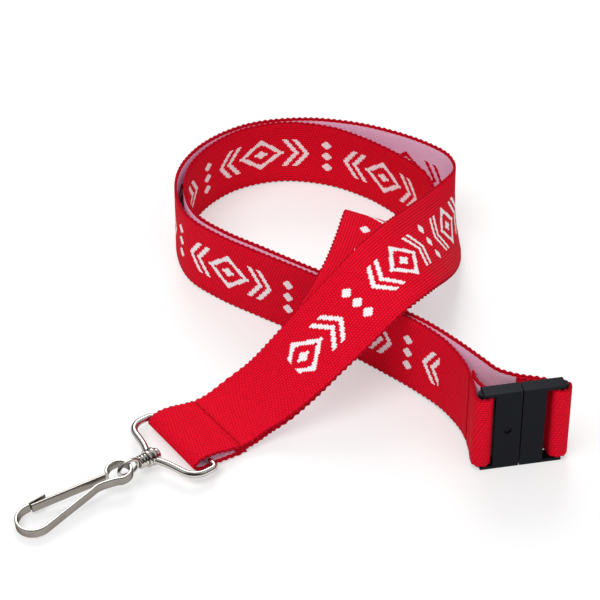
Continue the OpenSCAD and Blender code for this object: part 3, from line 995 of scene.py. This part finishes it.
class LANYARD_OT_swivel(bpy.types.Operator):
    """Turn the swivel's pin, washer and eye"""

    bl_idname = "lanyard.swivel"
    bl_label = "Swivel"

    def execute(self, context):
        material = wire_nickel(context.scene.lanyard_metal)
        boss_start = RING_DEPTH - BOSS_LENGTH / 2
        boss_end = RING_DEPTH + BOSS_LENGTH / 2
        head_end = boss_start - RUN_GAP
        neck_start = boss_end + WASHER_LENGTH
        neck_end = neck_start + NECK_LENGTH
        for name, node, (points, faces) in (
            ("swivel_rivet", "swivel_pin", self.rivet(head_end, neck_start + NECK_LENGTH * PIN_IN_NECK)),
            ("swivel_spacer", "swivel_washer", self.spacer(boss_end)),
            ("swivel_loop", "swivel_eye", joined(self.neck(neck_start, neck_end), self.loop(neck_end))),
        ):
            shape = placed(points, ring_axes(), joint_place("ring_tilt")), faces
            add_piece(name, "swivel", shape, material, [node])
        return {"FINISHED"}

    def rivet(self, head_end, shank_end):
        """A head, an elliptic quarter in profile on a straight rim, then the shank. The dome starts a degree
        off the axis, where a small face closes it."""
        angle = np.radians(np.linspace(1, 90, DOME_ROWS))
        dome_x = head_end - HEAD_RIM - (HEAD_LENGTH - HEAD_RIM) * np.cos(angle)
        dome = np.stack([dome_x, HEAD_RADIUS * np.sin(angle)], axis=1)
        shank = [[head_end, HEAD_RADIUS], [head_end, PIN_RADIUS], [shank_end, PIN_RADIUS]]
        return turned(np.vstack([dome, shank]))

    def spacer(self, start):
        """The washer: a sleeve with rounded edges, a gap clear of the ring's eye, the neck and the pin."""
        length = WASHER_LENGTH - 2 * RUN_GAP
        profile = rounded_sleeve(start + RUN_GAP, length, WASHER_RADIUS, PIN_RADIUS + RUN_GAP, WASHER_EDGE)
        return turned(profile, closed=True)

    def neck(self, start, end):
        """The pressed neck: grooves that are bell curves off its radius, and ends that are quarter rounds."""
        share = np.linspace(0, 1, NECK_ROWS)
        groove = sum(np.exp(-(((share - middle) / NECK_GROOVE_HALF) ** 2)) for middle in NECK_GROOVES)
        inwards = np.clip(np.minimum(share, 1 - share) / NECK_END, 0, 1)
        drop = 1 - np.sqrt(1 - (1 - inwards) ** 2)
        radius = NECK_RADIUS - NECK_GROOVE_DEPTH * groove - NECK_END_DEPTH * drop
        bore = [[end, PIN_RADIUS], [start, PIN_RADIUS]]
        profile = np.vstack([np.stack([start + (end - start) * share, radius], axis=1), bore])
        return turned(profile, closed=True)

    def loop(self, start):
        """The loop that carries the hook: two half rounds and two straights, flattened, upright on the axis
        of the pin."""
        near = start + EYE_HALF
        path = np.vstack([
            arc((near, 0), EYE_HALF, 90, 270),
            arc((near + EYE_STRAIGHT, 0), EYE_HALF, -90, 90),
        ])
        upright = path[:, [0, 2, 1]] * [1, 1, EYE_FLATNESS]
        return carried(upright, circle(EYE_WIRE, EYE_POINTS), SIDEWAYS, closed=True)


def hook_path():
    """Middle line of the hook's strip: the nose, the round bend, the straight leg, and the ring that it
    closes into, smoothed through its points."""
    slope = math.radians(LEG_SLOPE)
    leg_end = np.array([HOOK_LENGTH - HOOK_BEND * math.sin(slope), HOOK_BEND * math.cos(slope), 0])
    back = np.array([math.cos(slope), math.sin(slope), 0])
    leg = leg_end - np.outer(LEG_POINTS, back)
    nose = [[HOOK_LENGTH - length, -HOOK_BEND, 0] for length in (NOSE_LENGTH, NOSE_LENGTH / 2)]
    bend = arc((HOOK_LENGTH, 0), HOOK_BEND, -90, 90 + LEG_SLOPE, BEND_POINTS)
    ring = arc((0, 0), HOOK_RING, *RING_CLOSE, RING_POINTS)
    return evenly(spline(np.vstack([nose, bend, leg, ring]), STRIP_STEPS), BENT_PITCH)[0]


class LANYARD_OT_hook(bpy.types.Operator):
    """Bend the hook's strip and its spring gate"""

    bl_idname = "lanyard.hook"
    bl_label = "Hook"

    def execute(self, context):
        settings = context.scene.lanyard_metal
        material = shared_material("nickel strip", nickel_material, settings, settings.painted_side_shade, STRIP_ROUGHNESS)
        height = settings.strip_height / MM
        thick = settings.strip_thickness / MM
        strip = rounded_rectangle(thick, height, STRIP_EDGE)
        body = carried(hook_path(), strip, UPRIGHT)
        lip = self.lip(thick, height)
        gate = self.gate(thick, strip)
        # Share of the painted rim highlight: all of it on the strip's body, none on its lip, less on the gate
        rim_highlight_share = np.repeat([1, 0], [len(body[0]), len(lip[0])])
        for name, part, node, (points, faces), highlight_share in (
            ("hook_strip", "hook", "hook_body", joined(body, lip), rim_highlight_share),
            ("hook_spring_gate", "gate", "hook_gate", gate, GATE_RIM_HIGHLIGHT),
        ):
            shape = placed(points, hook_axes(), joint_place("hook_swing")), faces
            piece = add_piece(name, part, shape, material, [node])
            # Painted highlight along the top and bottom rims of the strip, fading into the painted shade of
            # its sides
            rim = np.clip((np.abs(points[:, 2]) - height / 2) / STRIP_EDGE + 1, 0, 1) * highlight_share
            piece.data.attributes.new("rim", "FLOAT", "POINT").data.foreach_set("value", rim)
        return {"FINISHED"}

    def lip(self, thick, height):
        """The thin lip past the nose, flush with the outside of the strip."""
        y = -HOOK_BEND - thick / 2 + LIP_THICKNESS / 2
        ends = np.array([[HOOK_LENGTH - NOSE_LENGTH - LIP_LENGTH, y, 0], [HOOK_LENGTH, y, 0]])
        outline = rounded_rectangle(LIP_THICKNESS, height, LIP_EDGE)
        return carried(evenly(ends, LIP_PITCH)[0], outline, UPRIGHT)

    def gate(self, thick, strip):
        """The spring gate: straight from half a thickness behind its root to a gap before the nose."""
        slope = math.radians(GATE_SLOPE)
        length = (HOOK_LENGTH - NOSE_LENGTH - GATE_GAP - GATE_ROOT[0]) / math.cos(slope)
        steps = np.linspace(-thick / 2, length, GATE_ROWS)
        line = np.array([*GATE_ROOT, 0]) + np.outer(steps, [math.cos(slope), math.sin(slope), 0])
        return carried(line, strip, UPRIGHT)


def from_angles(azimuth, elevation):
    """Direction towards a camera or lamp: azimuth 0 stands at -Y and a quarter turn at +X."""
    flat = math.cos(elevation)
    return Vector((math.sin(azimuth) * flat, -math.cos(azimuth) * flat, math.sin(elevation)))


def aim(thing, target, back, distance):
    """Stands a camera or lamp at a distance along a direction from its target, and turns it to look at it."""
    thing.location = target + back * distance
    thing.rotation_euler = (-back).to_track_quat("-Z", "Y").to_euler()


def add_sun(name, azimuth, elevation, strength, spread, mirrored):
    """A distant lamp with soft edges, which metal mirrors or not."""
    lamp = bpy.data.lights.new(name, "SUN")
    lamp.energy = strength
    lamp.angle = math.radians(spread)
    thing = bpy.data.objects.new(name, lamp)
    thing.visible_glossy = mirrored
    bpy.context.scene.collection.objects.link(thing)
    aim(thing, Vector(), from_angles(math.radians(azimuth), math.radians(elevation)), 1)


def table_material(name, settings):
    """Plain white table with a faint gloss, mixed with an even white where the camera or a mirror sees it."""
    material, shader, blank = start_material(name)
    grain = blank.noise(40, 3)
    blank.feed(shader, {
        "Base Color": grain.shades(settings.table, 0.99, 1.01),
        "Roughness": grain * 0.1 + 0.3,
        "Specular IOR Level": 0.3,
    })
    camera = blank.node("ShaderNodeLightPath", output="Is Camera Ray")
    mirror = camera.other("Is Glossy Ray").either(camera.other("Is Transmission Ray"))
    white = blank.node("ShaderNodeEmission", None, {"Color": (1, 1, 1, 1), "Strength": 1})
    lit = Shade(blank.tree, shader.outputs["BSDF"])
    share = camera.either(mirror) * settings.glow
    seen = blank.node("ShaderNodeMixShader", None, {0: share, 1: lit, 2: white})
    blank.feed(material.node_tree.nodes["Material Output"], {"Surface": seen})
    return material


def soft_sky(side):
    """Soft studio surroundings: bright overhead, dark at the horizon and darker round one direction, for the
    streaks in the metal."""
    world = bpy.data.worlds.new("studio")
    world.use_nodes = True
    bpy.context.scene.world = world
    blank = Shade(world.node_tree)
    ray = blank.node("ShaderNodeTexCoord", output="Generated")
    height = blank.node("ShaderNodeSeparateXYZ", None, {0: ray}, "Z")
    nearness = blank.node("ShaderNodeVectorMath", {"operation": "DOT_PRODUCT"}, {0: ray, 1: side}, "Value")
    smooth = {"interpolation_type": "SMOOTHSTEP"}
    shaded = blank.node("ShaderNodeMapRange", smooth, {"Value": nearness, **SKY_SIDE})
    level = blank.node("ShaderNodeMapRange", smooth, {"Value": height, **SKY_HEIGHT})
    blank.feed(world.node_tree.nodes["Background"], {"Color": (1, 1, 1, 1), "Strength": level * shaded})


class LANYARD_OT_stage(bpy.types.Operator):
    """Lay the table, set the lamps and place the camera"""

    bl_idname = "lanyard.stage"
    bl_label = "Stage"

    def execute(self, context):
        settings = context.scene.lanyard_stage
        target = Vector(settings.target)
        back = from_angles(settings.azimuth, settings.elevation)
        camera = bpy.data.cameras.new("camera")
        camera.lens = settings.lens
        thing = bpy.data.objects.new("camera", camera)
        context.scene.collection.objects.link(thing)
        aim(thing, target, back, settings.distance)
        context.scene.camera = thing

        corners = [(x * TABLE_HALF, y * TABLE_HALF, 0) for x, y in ((-1, -1), (1, -1), (1, 1), (-1, 1))]
        mesh = bpy.data.meshes.new("table")
        mesh.from_pydata(corners, [], [(0, 1, 2, 3)])
        mesh.materials.append(shared_material("table", table_material, settings))
        table = bpy.data.objects.new("table", mesh)
        context.scene.collection.objects.link(table)

        soft_sky(back)
        for name, lamp in LAMPS.items():
            add_sun(name, *lamp)
        context.scene.view_settings.view_transform = "Standard"
        return {"FINISHED"}


# The steps in the order in which they run, and the settings that the scene keeps for them
OPERATORS = (
    LANYARD_OT_stage,
    LANYARD_OT_straps,
    LANYARD_OT_seams,
    LANYARD_OT_buckle,
    LANYARD_OT_ring,
    LANYARD_OT_swivel,
    LANYARD_OT_hook,
)
SETTINGS = {
    "lanyard_strap": StrapSettings,
    "lanyard_buckle": BuckleSettings,
    "lanyard_metal": MetalSettings,
    "lanyard_stage": StageSettings,
}


class LANYARD_PT_panel(bpy.types.Panel):
    """Settings and steps of the lanyard"""

    bl_idname = "LANYARD_PT_panel"
    bl_label = "Lanyard"
    bl_space_type = "VIEW_3D"
    bl_region_type = "UI"
    bl_category = "Lanyard"

    def draw(self, context):
        for operator in OPERATORS:
            self.layout.operator(operator.bl_idname)
        for name, group in SETTINGS.items():
            box = self.layout.box()
            for setting in group.__annotations__:
                box.prop(getattr(context.scene, name), setting)


def register():
    for group in SETTINGS.values():
        bpy.utils.register_class(group)
    for name, group in SETTINGS.items():
        setattr(bpy.types.Scene, name, PointerProperty(type=group))
    for operator in OPERATORS:
        bpy.utils.register_class(operator)
    bpy.utils.register_class(LANYARD_PT_panel)


def unregister():
    bpy.utils.unregister_class(LANYARD_PT_panel)
    for operator in reversed(OPERATORS):
        bpy.utils.unregister_class(operator)
    for name, group in SETTINGS.items():
        delattr(bpy.types.Scene, name)
        bpy.utils.unregister_class(group)


def main():
    register()
    for operator in OPERATORS:
        group, step = operator.bl_idname.split(".")
        getattr(getattr(bpy.ops, group), step)()


if __name__ == "__main__":
    main()
